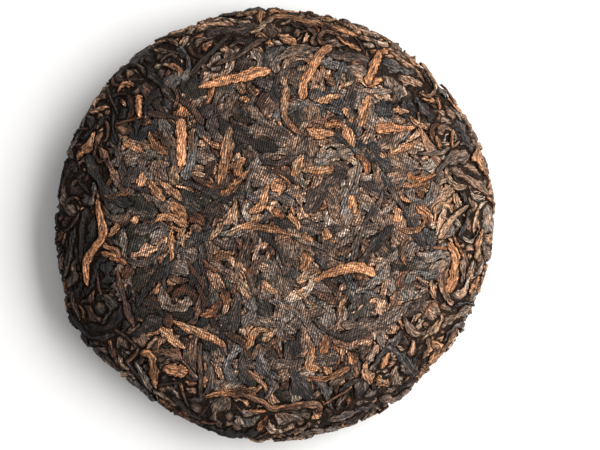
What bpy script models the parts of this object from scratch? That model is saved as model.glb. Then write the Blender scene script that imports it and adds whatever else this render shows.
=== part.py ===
"""A pressed pu erh tea cake: one compact disc of twisted tea leaves.

The leaves are steamed in a cloth bag and squeezed under a stone. The face comes out gently
domed, the rim is rounded by the cloth, and the knot of the bag leaves a round dimple in the
middle of the flat underside. Units are metres, +Z is up, and the cake lies face up on Z = 0.
"""

from math import atan2, cos, exp, hypot, pi, radians, sin

import bmesh
import bpy
from mathutils import Vector, noise

# Driving dimensions: a small cake of about 100 g.
RADIUS = 0.0525
THICKNESS = 0.0182
GIRDLE_HEIGHT = 0.0074  # where the cake is widest
FOOT_RADIUS = 0.0448  # the flat underside ends here
DIMPLE_RADIUS = 0.0155
DIMPLE_DEPTH = 0.0065

# The face is a superellipse: nearly flat in the middle, falling away over a soft shoulder.
FACE_FLATNESS = 3.5
SHOULDER_ROUNDNESS = 2.1

# The dimple's lip is soft, its wall is steep and its roof is nearly level.
DIMPLE_STEEPNESS = 4.0
LIP_SOFTNESS = 1.5

# Where the round outline swells or draws in: bearing from +X, spread, share of the radius.
OUTLINE_SWELLS = (
    (8.0, 15.0, 0.016),
    (205.0, 10.0, 0.034),
    (233.0, 12.0, -0.026),
    (92.0, 28.0, -0.010),
    (318.0, 6.0, -0.014),
)

# Strands of leaf show as low swells, drawn out along the rim and rounder across the face.
FACE_RELIEF = 0.00050
RIM_RELIEF = 0.00100
SWELL_LENGTH = 0.0085
RIM_STRETCH = 2.6
RIM_PITCH = 0.0053  # from one swell to the next, going down over the rim
LEVEL_BAND = 0.0040  # the relief dies out this far above the flat underside

TURNED_STEPS = 120
FACE_RINGS = 20
GIRDLE_RINGS = 6
FOOT_RINGS = 4
DIMPLE_RINGS = 8
WELD = 1e-6

LEAF_BROWN = (0.085, 0.056, 0.040, 1.0)


def clear_scene():
    for obj in list(bpy.data.objects):
        bpy.data.objects.remove(obj, do_unlink=True)


def leaf_material():
    material = bpy.data.materials.new("pressed_tea_leaf")
    material.use_nodes = True
    shader = material.node_tree.nodes["Principled BSDF"]
    shader.inputs["Base Color"].default_value = LEAF_BROWN
    shader.inputs["Roughness"].default_value = 0.75
    shader.inputs["Metallic"].default_value = 0.0
    return material


def half_section():
    """(radius, height) points from the middle of the face, over the rim, to the dimple's roof."""
    points = []
    for ring in range(FACE_RINGS + 1):
        turn = 0.5 * pi * (ring / FACE_RINGS) ** (FACE_FLATNESS / 2)  # spreads the rings evenly
        across = sin(turn) ** (2 / FACE_FLATNESS)
        up = max(cos(turn), 0.0) ** (2 / SHOULDER_ROUNDNESS)
        points.append((RADIUS * across, GIRDLE_HEIGHT + (THICKNESS - GIRDLE_HEIGHT) * up))
    for ring in range(1, GIRDLE_RINGS + 1):
        turn = 0.5 * pi * ring / GIRDLE_RINGS
        across = FOOT_RADIUS + (RADIUS - FOOT_RADIUS) * cos(turn)
        points.append((across, GIRDLE_HEIGHT * (1 - sin(turn))))
    for ring in range(1, FOOT_RINGS + 1):
        share = ring / FOOT_RINGS
        points.append((FOOT_RADIUS + (DIMPLE_RADIUS - FOOT_RADIUS) * share, 0.0))
    for ring in range(1, DIMPLE_RINGS + 1):
        share = 1 - ring / DIMPLE_RINGS
        rise = (1 - share**DIMPLE_STEEPNESS) ** LIP_SOFTNESS
        points.append((DIMPLE_RADIUS * share, DIMPLE_DEPTH * rise))
    return points


def turned_mesh():
    """The half section turned once round Z with a Screw modifier, as a mesh of its own."""
    section = half_section()
    corners = [(across, 0.0, height) for across, height in section]
    edges = [(low, low + 1) for low in range(len(section) - 1)]
    outline = bpy.data.meshes.new("half_section")
    outline.from_pydata(corners, edges, [])
    profile = bpy.data.objects.new("half_section", outline)
    bpy.context.scene.collection.objects.link(profile)
    screw = profile.modifiers.new("turn", "SCREW")
    screw.axis = "Z"
    screw.steps = TURNED_STEPS
    screw.render_steps = TURNED_STEPS
    screw.use_merge_vertices = True
    screw.merge_threshold = WELD
    graph = bpy.context.evaluated_depsgraph_get()
    turned = bpy.data.meshes.new_from_object(profile.evaluated_get(graph))
    bpy.data.objects.remove(profile, do_unlink=True)
    return turned


def outline_share(bearing):
    """The outline's radius at this bearing, as a share of the mean radius."""
    share = 1.0
    for middle, spread, height in OUTLINE_SWELLS:
        away = (bearing - radians(middle) + pi) % (2 * pi) - pi
        share += height * exp(-((away / radians(spread)) ** 2))
    return share


def strand_relief(place):
    """How far the surface stands proud or sinks where the strands of leaf run."""
    across = hypot(place.x, place.y)
    bearing = atan2(place.y, place.x)
    rimward = min(across / RADIUS, 1.0) ** 4
    face = noise.noise(place / SWELL_LENGTH)
    girth = RADIUS / (SWELL_LENGTH * RIM_STRETCH)
    down = (across - place.z) / RIM_PITCH
    rim = noise.noise(Vector((girth * cos(bearing), girth * sin(bearing), down)))
    return (1 - rimward) * FACE_RELIEF * face + rimward * RIM_RELIEF * rim


def cloth_share(place):
    """0 on the flat underside and in the dimple, 1 on all that stands clear of the board."""
    under = place.z < GIRDLE_HEIGHT and hypot(place.x, place.y) < FOOT_RADIUS + WELD
    return 0.0 if under else min(place.z / LEVEL_BAND, 1.0)


def shape(body):
    """Gives the turned body its uneven outline and its strands, and centres it on the origin."""
    places = []
    for vert in body.verts:
        place = vert.co + vert.normal * strand_relief(vert.co) * cloth_share(vert.co)
        share = outline_share(atan2(place.y, place.x))
        reach = min(hypot(place.x, place.y) / RADIUS, 1.0) ** 2
        swell = 1 + (share - 1) * reach
        places.append(Vector((place.x * swell, place.y * swell, place.z)))
    for vert, place in zip(body.verts, places):
        vert.co = place
    low = [min(place[axis] for place in places) for axis in range(3)]
    high = [max(place[axis] for place in places) for axis in range(3)]
    off_centre = (-(low[0] + high[0]) / 2, -(low[1] + high[1]) / 2, -low[2])
    bmesh.ops.translate(body, verts=body.verts, vec=off_centre)


def build_cake():
    body = bmesh.new()
    body.from_mesh(turned_mesh())
    bmesh.ops.remove_doubles(body, verts=body.verts, dist=WELD)
    bmesh.ops.recalc_face_normals(body, faces=body.faces)
    body.normal_update()
    shape(body)
    mesh = bpy.data.meshes.new("tea_cake")
    body.to_mesh(mesh)
    body.free()
    mesh.shade_smooth()
    mesh.materials.append(leaf_material())
    cake = bpy.data.objects.new("tea_cake", mesh)
    group = bpy.data.collections.new("pu_erh_tea_cake")
    bpy.context.scene.collection.children.link(group)
    group.objects.link(cake)


clear_scene()
build_cake()
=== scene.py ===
"""The looks of a small pressed pu erh tea cake: some two thousand twisted dried leaves, steamed
in a cloth bag and squeezed flush against each other, over a dense inner mass."""

import math

import bmesh
import bpy
import numpy as np
from mathutils import Matrix, Vector
from mathutils.bvhtree import BVHTree


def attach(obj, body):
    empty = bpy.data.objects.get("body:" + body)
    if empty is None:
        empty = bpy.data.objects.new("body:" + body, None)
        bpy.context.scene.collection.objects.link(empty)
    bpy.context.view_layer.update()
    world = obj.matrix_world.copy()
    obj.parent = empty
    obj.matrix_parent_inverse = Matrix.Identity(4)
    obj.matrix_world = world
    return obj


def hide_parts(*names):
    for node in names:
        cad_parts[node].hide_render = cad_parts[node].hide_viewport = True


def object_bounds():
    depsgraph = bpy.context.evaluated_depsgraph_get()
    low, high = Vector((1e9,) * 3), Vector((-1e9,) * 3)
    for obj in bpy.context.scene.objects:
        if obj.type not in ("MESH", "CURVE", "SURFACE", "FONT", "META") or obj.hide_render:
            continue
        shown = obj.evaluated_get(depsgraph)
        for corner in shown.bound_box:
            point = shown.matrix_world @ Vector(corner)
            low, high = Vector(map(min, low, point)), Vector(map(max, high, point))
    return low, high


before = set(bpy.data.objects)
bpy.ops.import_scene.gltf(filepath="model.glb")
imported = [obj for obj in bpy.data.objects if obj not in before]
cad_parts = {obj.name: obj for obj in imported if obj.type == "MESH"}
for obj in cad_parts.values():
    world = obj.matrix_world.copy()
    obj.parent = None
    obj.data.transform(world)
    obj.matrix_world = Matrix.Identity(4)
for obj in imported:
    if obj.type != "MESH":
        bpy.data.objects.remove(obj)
cad_box = [list(corner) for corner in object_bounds()]
MM = 0.001

# ---------------------------------------------------------------------------------------------
# The table and the light. The cake lies on a plain pale sheet. One large window stands on its
# right, and the pale room fills the shadows.

VIEW_WIDTH = 142.0 * MM  # what the picture takes in from side to side, at the cake's face
VIEW_CENTRE = Vector((5.9 * MM, -0.8 * MM, 12 * MM))
VIEW_DISTANCE = 0.50
VIEW_TILT = math.radians(4)
SENSOR_WIDTH = 36.0
WINDOW_BEARING = math.radians(6)
WINDOW_HEIGHT = math.radians(42)
WINDOW_DISTANCE = 0.60
WINDOW_WIDTH, WINDOW_TALL = 1.12, 0.45
WINDOW_POWER = 8.8
WINDOW_COLOUR = (1.0, 0.985, 0.965)
ROOM_COLOUR = (1.0, 0.975, 0.965, 1.0)
ROOM_STRENGTH = 0.44
PAPER_COLOUR = (0.87, 0.88, 0.88, 1.0)

floor_shape = bmesh.new()
bmesh.ops.create_grid(floor_shape, x_segments=1, y_segments=1, size=3.0)
pale_sheet = bpy.data.objects.new("pale_sheet", bpy.data.meshes.new("pale_sheet"))
floor_shape.to_mesh(pale_sheet.data)
floor_shape.free()
bpy.context.scene.collection.objects.link(pale_sheet)

paper = bpy.data.materials.new("pale_sheet")
paper.use_nodes = True
paper.node_tree.nodes["Principled BSDF"].inputs["Base Color"].default_value = PAPER_COLOUR
paper.node_tree.nodes["Principled BSDF"].inputs["Roughness"].default_value = 0.9
pale_sheet.data.materials.append(paper)

lamp = bpy.data.lights.new("window", "AREA")
lamp.shape = "RECTANGLE"
lamp.size = WINDOW_WIDTH
lamp.size_y = WINDOW_TALL
lamp.energy = WINDOW_POWER
lamp.color = WINDOW_COLOUR
window = bpy.data.objects.new("window", lamp)
window.location = WINDOW_DISTANCE * Vector((
    math.cos(WINDOW_HEIGHT) * math.cos(WINDOW_BEARING),
    math.cos(WINDOW_HEIGHT) * math.sin(WINDOW_BEARING),
    math.sin(WINDOW_HEIGHT),
))
window.rotation_euler = (-window.location).to_track_quat("-Z", "Y").to_euler()
bpy.context.scene.collection.objects.link(window)

room = bpy.data.worlds.new("pale_room")
room.use_nodes = True
room.node_tree.nodes["Background"].inputs["Color"].default_value = ROOM_COLOUR
room.node_tree.nodes["Background"].inputs["Strength"].default_value = ROOM_STRENGTH
bpy.context.scene.world = room
bpy.context.scene.view_settings.view_transform = "Standard"

lens = bpy.data.cameras.new("camera")
lens.sensor_width = SENSOR_WIDTH
lens.lens = SENSOR_WIDTH * VIEW_DISTANCE / VIEW_WIDTH
lens.clip_start = 0.01
camera = bpy.data.objects.new("camera", lens)
looking_back = Vector((0, -math.sin(VIEW_TILT), math.cos(VIEW_TILT)))
camera.location = VIEW_CENTRE + VIEW_DISTANCE * looking_back
camera.rotation_euler = (VIEW_TILT, 0, 0)
bpy.context.scene.collection.objects.link(camera)
bpy.context.scene.camera = camera

# ---------------------------------------------------------------------------------------------
# The pressed surface. The cloth squeezed every leaf to one smooth form, so a leaf lies flush
# with it except where it dips under another. The cake is laid from the outside in: what is
# laid first lies on top, and a map of the surface keeps how deep the leaves reach so far.

FORM_RADIUS = max(cad_box[1][0], cad_box[1][1])
GIRDLE_HEIGHT = 0.40 * cad_box[1][2]
RIM_START = 0.85 * FORM_RADIUS  # the map is wrapped over the rim from here on
RIM_WRAP = 9.5 * MM  # map length for each radian that the rim turns down
CELL = 0.25 * MM
FACE_HALF = RIM_START + math.pi * RIM_WRAP + 2 * CELL
FOOT_HALF = RIM_START + 2 * CELL
FACE_CELLS = int(2 * FACE_HALF / CELL)
FOOT_CELLS = int(2 * FOOT_HALF / CELL)
LOOSE_FROM, LOOSE_TO = 0.68, 0.92  # where the press lets go, as shares of the radius
SPOTS = 60000

pressed_form = bmesh.new()
pressed_form.from_mesh(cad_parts["tea_cake"].data)
bmesh.ops.remove_doubles(pressed_form, verts=pressed_form.verts, dist=0.01 * MM)
bmesh.ops.subdivide_edges(pressed_form, edges=pressed_form.edges, cuts=1, smooth=0.6)
for vertex in pressed_form.verts:
    vertex.co.z = max(vertex.co.z, 0)  # the foot stays flat
bmesh.ops.triangulate(pressed_form, faces=pressed_form.faces)
pressed_form.normal_update()
surface = BVHTree.FromBMesh(pressed_form)
reached = np.zeros(FACE_CELLS**2 + FOOT_CELLS**2)


def cells_of(places):
    """The map's cell for each place: face and rim on one round sheet, the underside on another."""
    x, y, z = places[..., 0], places[..., 1], places[..., 2]
    across = np.hypot(x, y) + 1e-9
    turn = np.arctan2(z - GIRDLE_HEIGHT, np.maximum(across - RIM_START, 1e-9))
    out = np.minimum(across, RIM_START) + RIM_WRAP * (math.pi / 2 - turn)
    column, row = (((out * way / across + FACE_HALF) / CELL).astype(int) for way in (x, y))
    foot_column, foot_row = (((way + FOOT_HALF) / CELL).astype(int) for way in (x, y))
    face = row.clip(0, FACE_CELLS - 1) * FACE_CELLS + column.clip(0, FACE_CELLS - 1)
    foot = foot_row.clip(0, FOOT_CELLS - 1) * FOOT_CELLS + foot_column.clip(0, FOOT_CELLS - 1)
    under = (z < GIRDLE_HEIGHT) & (across < RIM_START)
    return np.where(under, FACE_CELLS**2 + foot, face)


def looseness(place):
    """0 where the cloth pressed the leaves flat, on the face and the underside, 1 on the rim."""
    across = math.hypot(place[0], place[1]) / FORM_RADIUS
    if place[2] < GIRDLE_HEIGHT and across < RIM_START / FORM_RADIUS:
        return 0.1
    return min(max((across - LOOSE_FROM) / (LOOSE_TO - LOOSE_FROM), 0.0), 1.0)


def scattered_spots(form, count):
    """Places spread evenly at random over the form."""
    draw = np.random.default_rng(1)
    corners = np.array([[corner.co for corner in face.verts] for face in form.faces])
    a, b, c = corners[:, 0], corners[:, 1], corners[:, 2]
    area = np.linalg.norm(np.cross(b - a, c - a), axis=1)
    face = draw.choice(len(area), count, p=area / area.sum())
    u, v = draw.random((2, count, 1))
    u, v = np.where(u + v > 1, (1 - u, 1 - v), (u, v))
    return a[face] + u * (b - a)[face] + v * (c - a)[face]


spots = scattered_spots(pressed_form, SPOTS)
spot_cells = cells_of(spots)

# ---------------------------------------------------------------------------------------------
# The inner mass. Under the leaves that show, the cake is a dense block of the same dark leaf,
# seen only at the bottom of the crevices, where its near black colour is partly painted shade.
# It is the pressed form, drawn in all round, more at the loose rim.

CORE_DEPTH = 0.65 * MM
CORE_DEPTH_RIM = 1.25 * MM
# the darkest colour of the core: dark leaf, made darker still as painted shade for the crevices
CORE_DARK_AND_SHADE = (0.006, 0.004, 0.003, 1.0)
CORE_LIGHT = (0.052, 0.030, 0.020, 1.0)

for vertex in pressed_form.verts:
    depth = CORE_DEPTH + (CORE_DEPTH_RIM - CORE_DEPTH) * looseness(vertex.co)
    vertex.co -= vertex.normal * depth
inner_mass = bpy.data.objects.new("inner_mass", bpy.data.meshes.new("inner_mass"))
pressed_form.to_mesh(inner_mass.data)
pressed_form.free()
inner_mass.data.shade_smooth()
bpy.context.scene.collection.objects.link(inner_mass)

core_material = bpy.data.materials.new("inner_mass")
core_material.use_nodes = True
core_nodes = core_material.node_tree.nodes
core_links = core_material.node_tree.links
core_shader = core_nodes["Principled BSDF"]
core_shader.inputs["Roughness"].default_value = 0.8
core_shader.inputs["Specular IOR Level"].default_value = 0.1
core_place = core_nodes.new("ShaderNodeTexCoord").outputs["Object"]
lumps = core_nodes.new("ShaderNodeTexNoise")
lumps.inputs["Scale"].default_value = 700
lumps.inputs["Detail"].default_value = 3
lumps.inputs["Distortion"].default_value = 2
core_links.new(core_place, lumps.inputs["Vector"])
core_ramp = core_nodes.new("ShaderNodeValToRGB")
core_ramp.color_ramp.elements[0].position = 0.35
core_ramp.color_ramp.elements[0].color = CORE_DARK_AND_SHADE
core_ramp.color_ramp.elements[1].position = 0.75
core_ramp.color_ramp.elements[1].color = CORE_LIGHT
core_links.new(lumps.outputs["Fac"], core_ramp.inputs["Fac"])
core_links.new(core_ramp.outputs["Color"], core_shader.inputs["Base Color"])
core_bump = core_nodes.new("ShaderNodeBump")
core_bump.inputs["Strength"].default_value = 1.0
core_bump.inputs["Distance"].default_value = 1.2 * MM
core_links.new(lumps.outputs["Fac"], core_bump.inputs["Height"])
core_links.new(core_bump.outputs["Normal"], core_shader.inputs["Normal"])
inner_mass.data.materials.append(core_material)
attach(inner_mass, "root")
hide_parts("tea_cake")

# ---------------------------------------------------------------------------------------------
# The stalks. Straight stiff stems of the shoots, with a node or two, golden tan to red brown.
# The press only beds them in, so they are the longest whole pieces that show.

STALK_COLOURS = (
    (0.0, (0.026, 0.014, 0.010)),
    (0.4, (0.115, 0.060, 0.038)),
    (0.75, (0.340, 0.185, 0.108)),
    (1.0, (0.490, 0.278, 0.172)),
)
SHADED_SIDE = Vector((-0.97, -0.25, 0))  # the side of the rim away from the window: painted shade there, as well as darker leaf


PATCHES = (
    (18, 20, 12, 0.20),
    (12, 8, 9, 0.16),
    (46, 3, 12, 0.44),
    (34, -18, 8, 0.16),
    (12, -33, 6, 0.24),
    (-10, -39, 8, 0.44),
    (-31, -33, 8, 0.42),
    (-20, -12, 6, 0.12),
    (-30, 9, 7, 0.16),
    (24, -14, 8, -0.12),
    (28, 9, 9, -0.30),
    (-14, 25, 13, -0.26),
    (-32, 30, 8, -0.14),
    (-40, -3, 7, -0.14),
    (-20, -21, 9, -0.70),
    (-20, -34, 5, -0.24),
    (2, -33, 6, -0.22),
    (3, -43, 5, -0.30),
    (-6, 41, 8, -0.22),
)


def middle_line(start, heading, bends, step):
    """(place, heading, normal) at each step of a leaf's middle line, walked both ways from start."""
    half = len(bends) // 2
    ways = []
    for turns, sign in ((bends[half:], 1), (-bends[half::-1], -1)):
        place, normal = surface.find_nearest(start)[:2]
        way = sign * heading
        line = []
        for turn in turns:
            way = (way - way.dot(normal) * normal).normalized()
            line.append((place, sign * way, normal))
            way = Matrix.Rotation(turn * step, 3, normal) @ way
            place, normal = surface.find_nearest(place + way * step)[:2]
        ways.append(line)
    return ways[1][:0:-1] + ways[0]


def line_through(route, rings):
    """(middle line, its length) on the face, through these (x, y) places in millimetres."""
    knots = np.array(route) * MM
    knots = np.vstack([2 * knots[0] - knots[1], knots, 2 * knots[-1] - knots[-2]])
    curve = []
    for a, b, c, d in zip(knots, knots[1:], knots[2:], knots[3:]):
        for t in np.linspace(0, 1, 12):
            bend = (2 * a - 5 * b + 4 * c - d) * t**2 + (3 * b - a - 3 * c + d) * t**3
            curve.append(0.5 * (2 * b + (c - a) * t + bend))
    run = np.cumsum([0, *np.hypot(*np.diff(curve, axis=0).T)])
    at = np.linspace(0, run[-1], rings)
    spread = np.stack([np.interp(at, run, way) for way in np.transpose(curve)], axis=1)
    drops = [surface.ray_cast(Vector((x, y, 50 * MM)), Vector((0, 0, -1))) for x, y in spread]
    line = []
    for ring, (place, normal, *_) in enumerate(drops):
        way = drops[min(ring + 1, rings - 1)][0] - drops[max(ring - 1, 0)][0]
        line.append((place, (way - way.dot(normal) * normal).normalized(), normal))
    return line, float(run[-1])


def spread_rows(line, left, right, sides):
    """Places across the leaf at each step of its middle line, laid on the pressed surface."""
    places = np.empty((len(line), len(sides), 3))
    normals = np.empty((len(line), 1, 3))
    for ring, (place, way, normal) in enumerate(line):
        side = normal.cross(way)
        normals[ring, 0] = normal
        for column, share in enumerate(sides):
            reach = share * (left[ring] if share > 0 else right[ring])
            places[ring, column] = surface.find_nearest(place + side * reach)[0]
    along, over = np.gradient(places, axis=0), np.gradient(places, axis=1)
    square = np.cross(along, over)
    size = np.linalg.norm(square, axis=2, keepdims=True)
    square = np.where(size > 1e-13, square / np.maximum(size, 1e-13), normals)
    facing = (square * normals).sum(2, keepdims=True)
    return places, np.where(np.abs(facing) < 0.3, normals, square * np.sign(facing))


def neighbours(field):
    wide = np.pad(field, 1, mode="edge")
    return wide[:-2, 1:-1], wide[2:, 1:-1], wide[1:-1, :-2], wide[1:-1, 2:]


def wander(draw, along, strength, waves):
    """A smooth random change along a leaf, about as large as strength."""
    total = np.zeros_like(along)
    for wave in range(1, waves + 1):
        total += draw.normal() * np.sin(math.pi * wave * along + draw.uniform(0, 6.3)) / wave**0.5
    return strength * total


def finer(count, times):
    """A matrix that turns count samples into times as many, by straight interpolation."""
    at = np.linspace(0, count - 1, (count - 1) * times + 1)
    return np.stack([np.interp(at, range(count), row) for row in np.eye(count)], axis=1)


def lay_leaf(draw, line, length, left, right, columns, loose, thick, fold, lift):
    """(points, marks) of one leaf laid on the pressed surface, under all that lies there.

    Both are held in rings along the leaf by columns round it, the last column underneath.
    """
    rings = len(line)
    sides = np.cos(math.pi * np.arange(columns) / (columns - 1))
    along = np.linspace(-1, 1, rings)
    places, normals = spread_rows(line, left, right, sides)
    # a loose leaf is stiff and dips smoothly, while the press moulds the others to each other
    above = reached[cells_of(places)]
    if loose > 0.5:
        above = np.maximum.reduce([above, *neighbours(above)])
    for _ in range(round(2 * loose)):
        above = (sum(neighbours(above)) + 2 * above) / 6
    # its edges are rounded, hardly where it is pressed and fully where it is loose
    edge = 1 - np.sqrt(1 - np.abs(sides) ** (11 - 8.4 * loose))
    edge = np.maximum(edge[None, :], (np.abs(along) ** 14)[:, None])
    edge *= (0.2 + 0.4 * loose) * thick
    # its folds slant where it was rolled between the palms
    phase = draw.uniform(0, 6.3) + draw.normal(0, 2.2) * along + wander(draw, along, 0.5, 4)
    number = draw.uniform(3.0, 6.5)
    folds = 0.6 * np.sin(number * sides[None, :] + phase[:, None])
    folds += 0.4 * np.sin(2.1 * number * sides[None, :] - 1.4 * phase[:, None])
    folds = 0.5 + 0.5 * folds
    crumple = draw.random((rings, columns)) - 0.5
    sunk = np.where(above > 0, (above - lift).clip(0), 0)
    top = lift + sunk + edge + fold * (1 - folds + 0.4 * crumple)
    tops = places - normals * top[:, :, None]
    middle = columns // 2
    low = top[:, middle] + thick
    bottoms = places[:, middle] - normals[:, middle] * low[:, None]
    points = np.concatenate([tops, bottoms[:, None]], axis=1)
    points[..., 2] = points[..., 2].clip(0)
    over = np.where(sides[None, :] > 0, left[:, None], right[:, None]) * sides[None, :]
    grain = np.empty((rings, columns + 1, 3))
    grain[..., 0] = 0.5 * length / MM * along[:, None]
    grain[..., 1] = np.pad(over, ((0, 0), (0, 1))) / MM
    grain[..., 2] = draw.uniform(0, 900)
    marks = {
        "grain": grain,
        "depth": np.concatenate([top, low[:, None]], axis=1) / MM,
        "fold": np.concatenate([folds, folds[:, :1]], axis=1),
        "sunk": np.concatenate([sunk, sunk[:, :1]], axis=1) / MM,
        "edge": np.pad(np.abs(sides), (0, 1), constant_values=1)[None, :].repeat(rings, axis=0),
    }
    # the map takes the leaf in, at steps finer than its own points
    rows, cross = finer(rings, 3), finer(columns, 2)
    dense = np.einsum("ai,ijk,bj->abk", rows, places, cross)
    deep = rows @ (top + 0.5 * thick) @ cross.T
    np.maximum.at(reached, cells_of(dense).ravel(), deep.clip(0.01 * MM, 1.7 * MM).ravel())
    return points, marks


def lay_kind(
    seed, count, rings, columns, length, width, tones, curl=1.0, hook=0.0, pinch=0.0, blunt=6.0,
    waver=0.17, thick=0.5, lift=0.1, gap=0.5, crowd=0.3, rim_share=1.0, face_share=1.0, painted_light_side=0.45, by_hand=(),
):
    """Lays leaves of one kind: first those listed, then others on bare spots at random.

    Lengths are in millimetres. A listed place is (width, tone, then the points of its route).
    """
    draw = np.random.default_rng(seed)
    along = np.linspace(-1, 1, rings)
    share = np.linspace(0, 1, rings)
    leaves = []
    tints = np.random.default_rng(seed + 100)

    def lay(line, long, wide, tone, rust):
        loose = looseness(line[rings // 2][0])
        bluntness = blunt * draw.uniform(0.4, 1.1)
        shape = (1 - np.abs(along) ** bluntness).clip(0.02) ** 0.5 * (1 - draw.uniform(-0.5, 0.5) * along)
        turn = math.pi * (draw.uniform(0.8, 2.4) * share + draw.random())
        shape *= 1 - pinch * np.abs(np.sin(turn)) ** 3
        left, right = (
            0.5 * wide * shape * (1 + (1 + 0.5 * loose) * wander(draw, along, waver, 9)).clip(0.35, 1.7) for _ in "lr"
        )
        slim = min(1.0, wide / (1.8 * MM))
        points, marks = lay_leaf(
            draw, line, long, left, right, columns, loose,
            thick=thick * (1 + loose) * slim * MM,
            fold=(0.10 + 0.46 * loose) * slim * MM,
            lift=(lift * draw.random() + 0.7 * loose * draw.uniform(-0.35, 1)) * MM,
        )
        marks["tone"] = np.full(points.shape[:2], tone)
        marks["rust"] = np.full(points.shape[:2], rust)
        leaves.append((points, marks))

    for wide, tone, *route in by_hand:
        line, long = line_through(route, rings)
        lay(line, long, wide * MM, tone, tone + tints.uniform(-0.1, 0.3))
    for spot in draw.permutation(len(spots)):
        if len(leaves) >= count:
            break
        place = spots[spot]
        loose = looseness(place)
        if reached[spot_cells[spot]] > 0 or draw.random() > face_share + (rim_share - face_share) * loose:
            continue
        near = place + draw.normal(0, gap * MM, (8, 3))
        if (reached[cells_of(near)] > 0).mean() > crowd:
            continue
        normal = surface.find_nearest(Vector(place))[1]
        outward = Vector((place[0], place[1], 0)).normalized()
        round_rim = normal.cross(outward).normalized()
        angle = draw.normal(0, 0.5) if draw.random() < 0.6 * loose else draw.uniform(-1.6, 1.6)
        heading = Matrix.Rotation(angle, 3, normal) @ round_rim
        long = draw.uniform(*length) * MM
        wide = draw.uniform(*width) * (1 - 0.15 * loose) * MM
        bends = draw.normal(0, curl) / long * (1 + wander(draw, share, 0.9, 3))
        bends += draw.normal(0, hook) / long * 6 * share**5
        tightest = 1 / max(wide, 2.4 * MM)
        bends = (bends * (1 + 0.15 * loose)).clip(-tightest, tightest)
        # painted light and shade: leaves on the rim towards the window are made lighter, those on the far rim darker
        # (partly painted shade, partly darker leaf), and a slight painted gradient darkens the face away from the
        # window
        darker = SHADED_SIDE.dot(place) / FORM_RADIUS
        shift = (0.22 if darker > 0 else -painted_light_side) * min(max(2 * abs(darker) - 0.9, 0), 1)
        shift += 0.17 * darker
        for x, y, reach, lighter in PATCHES:
            away = math.hypot(place[0] - x * MM, place[1] - y * MM) / (reach * MM)
            shift -= lighter * math.exp(-away * away)
        tone = draw.uniform(*tones) - shift
        lay(middle_line(Vector(place), heading, bends, long / (rings - 1)), long, wide, tone, tints.random())
    print("LAID", len(leaves), "covered", round(float((reached[spot_cells] > 0).mean()), 3))
    return leaves


def blank_strip(rings, around):
    """A closed tube of rings by around points on Z from -1 to 1, before it is bent into a leaf."""
    tube = bmesh.new()
    bmesh.ops.create_cone(
        tube, cap_ends=True, cap_tris=True, segments=around, radius1=1, radius2=1, depth=2
    )
    long_edges = [edge for edge in tube.edges if edge.calc_length() > 1.5]
    bmesh.ops.subdivide_edges(tube, edges=long_edges, cuts=rings - 2)
    # each face's place in a flat unrolled picture of the tube
    unrolled = tube.loops.layers.uv.new("OFBake")
    for face in tube.faces:
        turns = [math.atan2(loop.vert.co.y, loop.vert.co.x) / (2 * math.pi) % 1 for loop in face.loops]
        at_tip = [math.hypot(*loop.vert.co.xy) < 0.5 for loop in face.loops]
        rim_turns = [turn for turn, tip in zip(turns, at_tip) if not tip]
        wraps = max(rim_turns) - min(rim_turns) > 0.5
        rim_turns = [turn + (wraps and turn < 0.5) for turn in rim_turns]
        for loop, turn, tip in zip(face.loops, turns, at_tip):
            height = loop.vert.co.z * (1 + tip * 2 / rings)
            turn = sum(rim_turns) / 2 if tip else turn + (wraps and turn < 0.5)
            loop[unrolled].uv = (0.5 + 0.5 * height / (1 + 2 / rings), turn)
    mesh = bpy.data.meshes.new("blank_strip")
    tube.to_mesh(mesh)
    tube.free()
    return mesh


def read_values(collection, field, width):
    values = np.empty(len(collection) * width)
    collection.foreach_get(field, values)
    return values.reshape(-1, width)


def join_leaves(name, leaves, material):
    """One piece made of all these leaves, each bent from a copy of the same blank strip."""
    rings, around = leaves[0][0].shape[:2]
    blank = bpy.data.objects.new("blank_strip", blank_strip(rings, around))
    bpy.context.scene.collection.objects.link(blank)
    copies = blank.modifiers.new("copies", "ARRAY")
    copies.use_relative_offset = False
    copies.count = len(leaves)
    graph = bpy.context.evaluated_depsgraph_get()
    heap = bpy.data.meshes.new_from_object(blank.evaluated_get(graph))
    x, y, z = read_values(blank.data.vertices, "co", 3).T
    picture = read_values(blank.data.uv_layers["OFBake"].data, "uv", 2)
    bpy.data.objects.remove(blank)
    ring = np.round((z + 1) / 2 * (rings - 1)).astype(int)
    # the tube's points start at its Y axis
    column = np.round((np.arctan2(y, x) / (2 * math.pi) - 0.25) * around).astype(int) % around
    tip = np.hypot(x, y) < 0.5
    bent = [np.where(tip[:, None], points[ring].mean(1), points[ring, column]) for points, _ in leaves]
    heap.vertices.foreach_set("co", np.concatenate(bent).ravel())
    for mark in leaves[0][1]:
        values = np.concatenate([marks[mark][ring, column] for _, marks in leaves])
        kind, field = ("FLOAT_VECTOR", "vector") if values.ndim > 1 else ("FLOAT", "value")
        heap.attributes.new(mark, kind, "POINT").data.foreach_set(field, values.ravel())
    # each leaf has its own cell of the flat picture
    wide = math.ceil(math.sqrt(len(leaves) / 2.4))
    high = math.ceil(len(leaves) / wide)
    corner = np.array([(number % wide, number // wide) for number in range(len(leaves))])
    cells = (corner[:, None, :] + 0.03 + 0.94 * picture[None]) / (wide, high)
    heap.uv_layers["OFBake"].data.foreach_set("uv", cells.ravel())
    heap.shade_smooth()
    heap.update()
    heap.materials.append(material)
    piece = bpy.data.objects.new(name, heap)
    bpy.context.scene.collection.objects.link(piece)
    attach(piece, "root")
    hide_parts("tea_cake")


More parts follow.
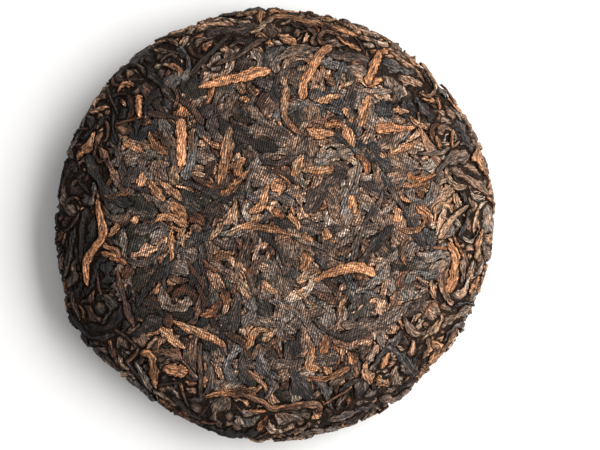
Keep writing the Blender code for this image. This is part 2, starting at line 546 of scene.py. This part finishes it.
def add_node(tree, kind, inputs=(), **settings):
    """A node with these settings, its sockets filled with values or linked to outputs."""
    node = tree.nodes.new("ShaderNode" + kind)
    for key, value in settings.items():
        setattr(node, key, value)
    for key, value in dict(inputs).items():
        if isinstance(value, bpy.types.NodeSocket):
            tree.links.new(value, node.inputs[key])
        else:
            node.inputs[key].default_value = value
    return node


def reckon(tree, operation, *values, clamp=False):
    return add_node(tree, "Math", enumerate(values), operation=operation, use_clamp=clamp).outputs[0]


def ramped(tree, value, low, high, to_low=0.0, to_high=1.0):
    sockets = {"Value": value, "From Min": low, "From Max": high, "To Min": to_low, "To Max": to_high}
    return add_node(tree, "MapRange", sockets, interpolation_type="SMOOTHSTEP").outputs["Result"]


def noise(tree, vector, scale, detail=2.0, roughness=0.6, distortion=0.0):
    """The noise's value, about 0.25 to 0.75."""
    sockets = {"Vector": vector, "Scale": scale, "Detail": detail, "Roughness": roughness}
    return add_node(tree, "TexNoise", {**sockets, "Distortion": distortion}).outputs["Fac"]


def stretched(tree, vector, factors):
    return add_node(tree, "VectorMath", {0: vector, 1: factors}, operation="MULTIPLY").outputs[0]


def new_group(name, inputs, outputs):
    """An empty shader node group with these named sockets."""
    tree = bpy.data.node_groups.new(name, "ShaderNodeTree")
    for socket, kind in inputs:
        tree.interface.new_socket(socket, in_out="INPUT", socket_type="NodeSocket" + kind)
    for socket, kind in outputs:
        tree.interface.new_socket(socket, in_out="OUTPUT", socket_type="NodeSocket" + kind)
    return tree, tree.nodes.new("NodeGroupInput").outputs, tree.nodes.new("NodeGroupOutput").inputs


def leaf_grain_group():
    """Wrinkles, finer pleats between them and fibres that run along a leaf."""
    tree, given, made = new_group(
        "leaf_grain", [("Grain", "Vector")], [("Wrinkles", "Float"), ("Pleats", "Float"), ("Fibres", "Float")]
    )
    wrinkles = noise(tree, stretched(tree, given["Grain"], (0.16, 0.80, 1.0)), 1.0, 2.0, 0.6, 0.6)
    fibres = noise(tree, stretched(tree, given["Grain"], (0.9, 2.8, 1.0)), 1.0, 2.5, 0.8)
    pleats = reckon(tree, "PINGPONG", wrinkles, 0.085)
    tree.links.new(ramped(tree, wrinkles, 0.25, 0.75), made["Wrinkles"])
    tree.links.new(reckon(tree, "MULTIPLY", pleats, 1 / 0.085), made["Pleats"])
    tree.links.new(ramped(tree, fibres, 0.3, 0.7), made["Fibres"])
    return tree


def cloth_print_group():
    """The weave of the pressing cloth, printed into every leaf that was squeezed flat."""
    tree, given, made = new_group(
        "cloth_print", [("Depth", "Float")], [("Pressed", "Float"), ("Threads", "Float"), ("Printed", "Float")]
    )
    place = add_node(tree, "TexCoord").outputs["Object"]
    sway = add_node(tree, "TexNoise", {"Vector": place, "Scale": 60.0, "Detail": 2.0}).outputs["Color"]
    sway = add_node(tree, "VectorMath", {0: sway, 1: (0.5, 0.5, 0.5)}, operation="SUBTRACT").outputs[0]
    moved = add_node(
        tree, "VectorMath", {0: sway, 1: (0.0035, 0.0035, 0.0), 2: place}, operation="MULTIPLY_ADD"
    ).outputs[0]
    turned = add_node(tree, "Mapping", {"Vector": moved, "Rotation": (0, 0, math.radians(15))}).outputs[0]
    warp = add_node(tree, "TexWave", {"Vector": turned, "Scale": 0.314 / 0.00053}, bands_direction="X")
    weft = add_node(tree, "TexWave", {"Vector": turned, "Scale": 0.314 / 0.00085}, bands_direction="Y")
    worn = ramped(tree, noise(tree, place, 1500.0, 1.0), 0.38, 0.62, 0.35, 1.0)
    beads = reckon(tree, "MULTIPLY", reckon(tree, "MULTIPLY_ADD", weft.outputs["Fac"], 0.4, 0.6), worn)
    threads = reckon(tree, "MULTIPLY", warp.outputs["Fac"], beads)
    flat_place = stretched(tree, place, (1.0, 1.0, 0.0))
    out = add_node(tree, "VectorMath", {0: flat_place}, operation="LENGTH").outputs["Value"]
    patches = noise(tree, place, 110.0)
    out = reckon(tree, "MULTIPLY_ADD", patches, 0.020, out)
    pressed = ramped(tree, out, 0.045, 0.056, 1.0, 0.0)
    touched = ramped(tree, given["Depth"], 0.18, 0.40, 1.0, 0.0)
    printed = reckon(tree, "MULTIPLY", pressed, touched)
    printed = reckon(tree, "MULTIPLY", printed, ramped(tree, patches, 0.34, 0.55, 0.45, 1.0))
    tree.links.new(pressed, made["Pressed"])
    tree.links.new(threads, made["Threads"])
    tree.links.new(printed, made["Printed"])
    return tree


leaf_grain = leaf_grain_group()
cloth_print = cloth_print_group()


def leaf_material(name, colours, mottle=0.38, streaks=0.34, print_share=0.8, crease_shade=0.85, roughness=0.6, sheen=0.3):
    """Dried leaf. Its colour runs through the given colours with the leaf's tone and mottling, with painted light on
    its fold tops and painted shade in its pleats, along its edges and where it sinks under other leaves.
    """
    material = bpy.data.materials.new(name)
    material.use_nodes = True
    tree = material.node_tree
    shader = tree.nodes["Principled BSDF"]
    shader.inputs["Specular IOR Level"].default_value = sheen
    mark = {
        key: add_node(tree, "Attribute", attribute_name=key).outputs["Vector" if key == "grain" else "Fac"]
        for key in ("grain", "depth", "fold", "sunk", "edge", "tone", "rust")
    }
    grain = add_node(tree, "Group", node_tree=leaf_grain)
    tree.links.new(mark["grain"], grain.inputs["Grain"])
    weave = add_node(tree, "Group", node_tree=cloth_print)
    tree.links.new(mark["depth"], weave.inputs["Depth"])
    place = add_node(tree, "TexCoord").outputs["Object"]
    # the tone of the leaf, shifted by clouds and streaks
    clouds = noise(tree, place, 380.0, 3.5, 0.62, 0.5)
    tone = reckon(tree, "MULTIPLY_ADD", reckon(tree, "SUBTRACT", clouds, 0.5), 3.2 * mottle, mark["tone"])
    broad = reckon(tree, "SUBTRACT", noise(tree, place, 75.0, 2.0), 0.5)
    tone = reckon(tree, "MULTIPLY_ADD", broad, 2.6 * mottle, tone)
    streak = reckon(tree, "SUBTRACT", grain.outputs["Wrinkles"], 0.5)
    tone = reckon(tree, "MULTIPLY_ADD", streak, streaks, tone, clamp=True)
    ramp = add_node(tree, "ValToRGB", {"Fac": tone})
    stops = ramp.color_ramp.elements
    stops.remove(stops[1])
    for number, (position, colour) in enumerate(colours):
        stop = stops.new(position) if number else stops[0]
        stop.position = position
        stop.color = (*colour, 1)
    # some of it is rustier and some of it is blacker with a blue cast
    warmth = reckon(tree, "MULTIPLY_ADD", mark["rust"], 0.3, noise(tree, place, 300.0, 3.5, 0.75))
    warmth = ramped(tree, warmth, 0.48, 0.76)
    cast = add_node(
        tree, "Mix", {"Factor": warmth, "A": (0.89, 1.00, 1.01, 1), "B": (1.15, 0.92, 0.71, 1)}, data_type="RGBA"
    ).outputs["Result"]
    colour = add_node(tree, "VectorMath", {0: ramp.outputs["Color"], 1: cast}, operation="MULTIPLY").outputs[0]
    # lightness: fibres, printed threads and painted light on the tops of folds, then painted shade in the pleats, where
    # a leaf sinks under others and along its edges
    light = reckon(tree, "MULTIPLY_ADD", grain.outputs["Fibres"], 2.1, 0.07)
    ribs = reckon(tree, "MULTIPLY", reckon(tree, "SUBTRACT", weave.outputs["Threads"], 0.235), weave.outputs["Printed"])
    light = reckon(tree, "MULTIPLY", light, reckon(tree, "MULTIPLY_ADD", ribs, 3.6 * print_share, 1.0))
    # painted light and shade: lighter on the tops of the folds, darker in their hollows
    light = reckon(tree, "MULTIPLY", light, ramped(tree, mark["fold"], 0.1, 0.8, 0.72, 1.15))
    # painted shade in the pleats
    dark = ramped(tree, grain.outputs["Pleats"], 0.0, 0.6, crease_shade, 0.0)
    # painted shade where a leaf sinks under those laid over it
    dark = reckon(tree, "MAXIMUM", dark, ramped(tree, mark["sunk"], 0.05, 0.7, 0.0, 0.93))
    # painted shade along each leaf's edges, broken up by streaks and clouds, for the crevices between leaves
    edge_shade = reckon(tree, "MULTIPLY_ADD", streak, 0.3, mark["edge"])
    edge_shade = reckon(tree, "MULTIPLY_ADD", reckon(tree, "SUBTRACT", clouds, 0.5), 0.5, edge_shade)
    dark = reckon(tree, "MAXIMUM", dark, ramped(tree, edge_shade, 0.86, 1.05, 0.0, 0.75))
    light = reckon(tree, "MULTIPLY", light, reckon(tree, "SUBTRACT", 1.0, dark))
    shown = add_node(tree, "VectorMath", {0: colour, "Scale": light}, operation="SCALE").outputs[0]
    tree.links.new(shown, shader.inputs["Base Color"])
    rough = reckon(tree, "MULTIPLY_ADD", grain.outputs["Fibres"], 0.2, roughness - 0.1)
    tree.links.new(rough, shader.inputs["Roughness"])
    # relief: loose leaves are ridged and creased, pressed ones carry the weave
    relief = reckon(tree, "MULTIPLY_ADD", grain.outputs["Fibres"], 0.22, reckon(tree, "MULTIPLY", grain.outputs["Wrinkles"], 0.5))
    relief = reckon(tree, "MULTIPLY_ADD", grain.outputs["Pleats"], 0.35, relief)
    relief = reckon(tree, "MULTIPLY", relief, reckon(tree, "MULTIPLY_ADD", weave.outputs["Pressed"], -0.6, 1.0))
    threads = reckon(tree, "MULTIPLY", weave.outputs["Threads"], weave.outputs["Printed"])
    relief = reckon(tree, "MULTIPLY_ADD", threads, 0.28, relief)
    bump = add_node(tree, "Bump", {"Height": relief, "Strength": 1.0, "Distance": 0.85 * MM})
    tree.links.new(bump.outputs[0], shader.inputs["Normal"])
    return material


stalks = lay_kind(
    seed=3, count=55, rings=28, columns=7, length=(8, 15), width=(1.0, 1.8), tones=(0.0, 0.6),
    curl=0.9, blunt=11, waver=0.13, thick=0.65, face_share=0.5, painted_light_side=0.1,
    by_hand=[
        (2.4, 0.95, (-18, 31.5), (-10, 33.5), (-1, 35.5)),
        (2.5, 1.0, (-22, 24), (-22, 18.5), (-22, 12.5)),
        (1.5, 0.4, (-20, 21), (-19.5, 15.5)),
        (1.7, 0.84, (-32.5, 30), (-32, 24.5)),
        (2.2, 0.85, (9, -14.5), (14, -12), (19, -11), (23.5, -13)),
        (2.2, 0.85, (13.5, 41.8), (10.4, 39), (8.5, 35.6), (6.6, 32.3), (6.6, 28.5)),
        (1.0, 0.5, (15.3, 44.4), (11.8, 45.2), (10.4, 43), (12.5, 41.8)),
        (2.2, 0.9, (25, 41), (24.3, 39), (21.7, 32.3)),
        (2.0, 0.75, (23.5, 21.5), (33, 22)),
        (2.0, 0.8, (-42, 5), (-40.6, -3.2), (-42.2, -5.9), (-44.3, -9.1), (-44.8, -12.9), (-44.3, -15.3)),
        (1.3, 0.7, (-40.6, -3), (-38.9, -3.4), (-36.6, -1)),
        (1.1, 0.6, (-41, -5.3), (-39.6, -6.2), (-37.1, -7), (-36.3, -8.9)),
        (1.4, 0.75, (22.5, 40.7), (27.2, 41)),
        (1.8, 0.8, (21.7, 32.1), (25.5, 33.8)),
        (1.7, 0.45, (-9.3, -40.2), (-3, -42.6), (0, -44.2), (9, -43.2), (11, -44.8)),
        (2.3, 0.95, (41, -5), (42.6, -8.5), (42.2, -13), (40.6, -17)),
        (1.1, 0.1, (-17.5, -28.5), (-17.5, -42)),
    ],
)
join_leaves("stalks", stalks, leaf_material("stalks", STALK_COLOURS, 0.3, 0.4, print_share=0.5, crease_shade=0.6))

# ---------------------------------------------------------------------------------------------
# The golden tips. Young buds and curled tan leaves, the lightest things in the cake.

TIP_COLOURS = (
    (0.0, (0.054, 0.024, 0.012)),
    (0.3, (0.200, 0.096, 0.047)),
    (0.65, (0.365, 0.212, 0.128)),
    (1.0, (0.415, 0.264, 0.176)),
)

tips = lay_kind(
    seed=4, count=210, rings=16, columns=9, length=(3, 9), width=(1.0, 2.6), tones=(0.1, 0.8),
    curl=1.2, hook=1.0, blunt=3, waver=0.18, rim_share=0.35, painted_light_side=-0.12,
    by_hand=[
        (2.0, 0.6, (-28.5, -0.5), (-25, 1), (-20.5, -1.5)),
        (2.2, 0.85, (-33.4, 0.6), (-32.2, -0.6)),
        (1.8, 0.6, (-35.8, 18.6), (-31, 16.2)),
        (1.8, 0.8, (34.5, 30.8), (38.2, 28.6)),
        (2.6, 0.45, (-2.6, 49), (2, 50), (11, 48), (20, 45)),
        (2.4, 0.9, (8.8, -45.2), (10.6, -46.6)),
        (2.2, 0.8, (-1.5, 8.5), (-3.5, 3), (-6.5, 2)),
        (3.4, 0.95, (-1, 8.5), (2.5, 7.5)),
        (2.6, 0.35, (-20.5, 27.5), (-22, 25.5), (-23.5, 23.5)),
        (2.7, 0.7, (-43, 21.5), (-44.5, 18.5), (-47.5, 15)),
        (2.0, 0.7, (-4.5, 43.5), (-3, 44), (-0.5, 41.5)),
        (2.2, 0.7, (0.5, 44.5), (5, 42)),
        (1.5, 0.6, (-8.5, 28.5), (-6, 28.5)),
        (1.8, 0.6, (-14.5, 41.5), (-12, 42.5)),
        (3.2, 0.85, (22, 29.5), (20, 22)),
        (1.8, 0.7, (27, 15.5), (33.5, 18.5)),
        (2.0, 0.6, (34.5, 31), (38.5, 29.5), (39.5, 27)),
        (1.8, 0.8, (10, 28), (15.5, 29.5)),
        (2.5, 0.9, (16.5, 22), (18.5, 17)),
        (2.2, 0.5, (-30, 9.5), (-26, 4.5)),
        (2.0, 0.6, (-27, 9), (-21.5, 4.5)),
        (3.0, 0.3, (-10.5, 22), (-11.5, 15), (-13.2, 8)),
        (1.8, 0.4, (-13, 6.8), (-11, 6.6), (-5.8, 12)),
        (1.6, 0.5, (-11.5, -3.5), (-7, -1.5), (-2.5, -2), (4.5, -3.5)),
        (2.0, 0.5, (-24, -23.5), (-17.5, -26.5), (-11.5, -29.5)),
        (2.4, 0.8, (-27, -25.5), (-21, -30)),
        (1.8, 0.6, (-6.5, -30.5), (-4.5, -26), (-1, -26)),
        (2.4, 0.6, (-32, -31.5), (-29, -32.5), (-28.5, -40)),
        (3.6, 0.7, (-26.5, -35), (-20.5, -35.5)),
        (2.0, 0.4, (-17, -41.5), (-11.5, -40.5), (-4.5, -40.5)),
        (2.4, 0.95, (28.5, 3), (29, -0.5)),
        (2.2, 0.95, (18, 6), (18.5, 1.5)),
        (1.5, 0.6, (6.5, -3.5), (9, -5)),
        (2.2, 0.8, (11.5, -2), (12.5, -4.5)),
        (1.8, 0.85, (49, -13), (46.5, -17.5)),
        (2.2, 0.6, (9, -29.5), (8, -34), (10.5, -34.5)),
        (2.0, 0.6, (11.5, -34), (13, -36.5)),
        (2.0, 0.6, (17, -31), (19, -33.5)),
        (1.8, 0.6, (27, -31), (25, -35)),
        (2.2, 0.95, (37, -29), (39, -30), (37, -34)),
        (1.8, 0.4, (44, -25.5), (39.5, -32), (34, -37.5)),
    ],
)
join_leaves("golden_tips", tips, leaf_material("golden_tips", TIP_COLOURS, 0.48, 0.4, print_share=0.55))

# ---------------------------------------------------------------------------------------------
# The shreds. Thin torn strands and leaf veins that lie over everything, mostly at the rim.

shreds = lay_kind(
    seed=10, count=110, rings=24, columns=5, length=(4, 9), width=(0.55, 1.0), tones=(0.0, 0.6),
    curl=1.0, hook=0.4, waver=0.08, thick=0.9, face_share=0.12, painted_light_side=0.1,
)
join_leaves("shreds", shreds, leaf_material("shreds", STALK_COLOURS, 0.3, 0.3, crease_shade=0.3))

# ---------------------------------------------------------------------------------------------
# The dark strips. Older leaf, rolled lengthwise into strips and gone blue black in the damp pile.

DARK_COLOURS = (
    (0.0, (0.012, 0.009, 0.009)),
    (0.35, (0.068, 0.054, 0.051)),
    (0.7, (0.158, 0.128, 0.117)),
    (1.0, (0.225, 0.170, 0.143)),
)

dark_strips = lay_kind(
    seed=5, count=290, rings=28, columns=9, length=(9, 20), width=(1.8, 4.2), tones=(0.0, 0.75),
    curl=1.5, hook=1.2, pinch=0.55,
    by_hand=[
        (2.2, 0.2, (-10.5, -1.5), (-18.5, -4.5), (-27, -11)),
        (2.0, 0.2, (-17.5, -5), (-16, -18)),
        (5.5, 0.2, (23.5, 26), (33, 26.5)),
        (2.2, 0.5, (-35.5, -2), (-35.5, -10.5)),
        (2.8, 0.25, (33.2, 29.6), (35.5, 26.5), (37.6, 24.2)),
        (3.4, 0.3, (43.4, 24.6), (45.4, 20.6), (47.4, 16.6)),
        (1.6, 0.3, (42, 11), (44.6, 6), (45.4, 0.8), (43.4, -3.8)),
        (1.6, 0.2, (15, -41), (18.3, -37.8), (22.8, -37.6), (23.4, -40)),
        (2.2, 0.3, (24.6, 11.6), (30, 3), (35.6, -7)),
    ],
)
join_leaves("dark_strips", dark_strips, leaf_material("dark_strips", DARK_COLOURS))

# ---------------------------------------------------------------------------------------------
# The brown strips. The same, of younger leaf that turned brown.

BROWN_COLOURS = (
    (0.0, (0.031, 0.014, 0.008)),
    (0.35, (0.170, 0.105, 0.078)),
    (0.7, (0.344, 0.235, 0.181)),
    (1.0, (0.402, 0.284, 0.219)),
)

brown_strips = lay_kind(
    seed=6, count=290, rings=28, columns=9, length=(8, 18), width=(1.5, 3.6), tones=(0.06, 0.98),
    curl=1.8, hook=1.5, pinch=0.55,
    by_hand=[
        (2.2, 0.6, (34, 26.3), (34.4, 21.6), (37, 16.8), (38.6, 14), (43.2, 10.6)),
        (2.0, 0.6, (38.3, 21.4), (40.8, 22.6), (43.2, 20.8), (43.8, 18.6)),
        (3.6, 0.65, (42.4, 15.6), (47.4, 16.2)),
    ],
)
join_leaves("brown_strips", brown_strips, leaf_material("brown_strips", BROWN_COLOURS))

# ---------------------------------------------------------------------------------------------
# The flat flakes. Broad open leaves and torn pieces, which the press spread out between the rest.

FLAKE_COLOURS = (
    (0.0, (0.015, 0.011, 0.006)),
    (0.35, (0.112, 0.080, 0.067)),
    (0.7, (0.220, 0.158, 0.129)),
    (1.0, (0.300, 0.214, 0.168)),
)

flakes = lay_kind(
    seed=7, count=300, rings=18, columns=13, length=(7, 14), width=(3.8, 7.0), tones=(0.04, 0.78),
    curl=0.8, blunt=2.6, gap=0.8, waver=0.18, rim_share=0.25,
)
join_leaves("flat_flakes", flakes, leaf_material("flat_flakes", FLAKE_COLOURS))

# ---------------------------------------------------------------------------------------------
# The rusty strips. Shorter red brown pieces, wedged in wherever there was room.

RUST_COLOURS = (
    (0.0, (0.036, 0.016, 0.007)),
    (0.35, (0.198, 0.098, 0.055)),
    (0.7, (0.377, 0.231, 0.159)),
    (1.0, (0.408, 0.284, 0.214)),
)

rust_strips = lay_kind(
    seed=8, count=330, rings=18, columns=9, length=(5, 11), width=(1.2, 2.4), tones=(0.08, 0.98),
    curl=1.8, hook=1.5, pinch=0.3,
)
join_leaves("rusty_strips", rust_strips, leaf_material("rusty_strips", RUST_COLOURS))

# ---------------------------------------------------------------------------------------------
# The broken ends. Crumbs and tips of strips that close the last gaps.

ends = lay_kind(
    seed=9, count=1350, rings=9, columns=7, length=(2.5, 6), width=(1.0, 2.2), tones=(0.0, 0.9),
    curl=1.2, gap=0.3, crowd=0.85,
)
join_leaves("broken_ends", ends, leaf_material("broken_ends", BROWN_COLOURS))
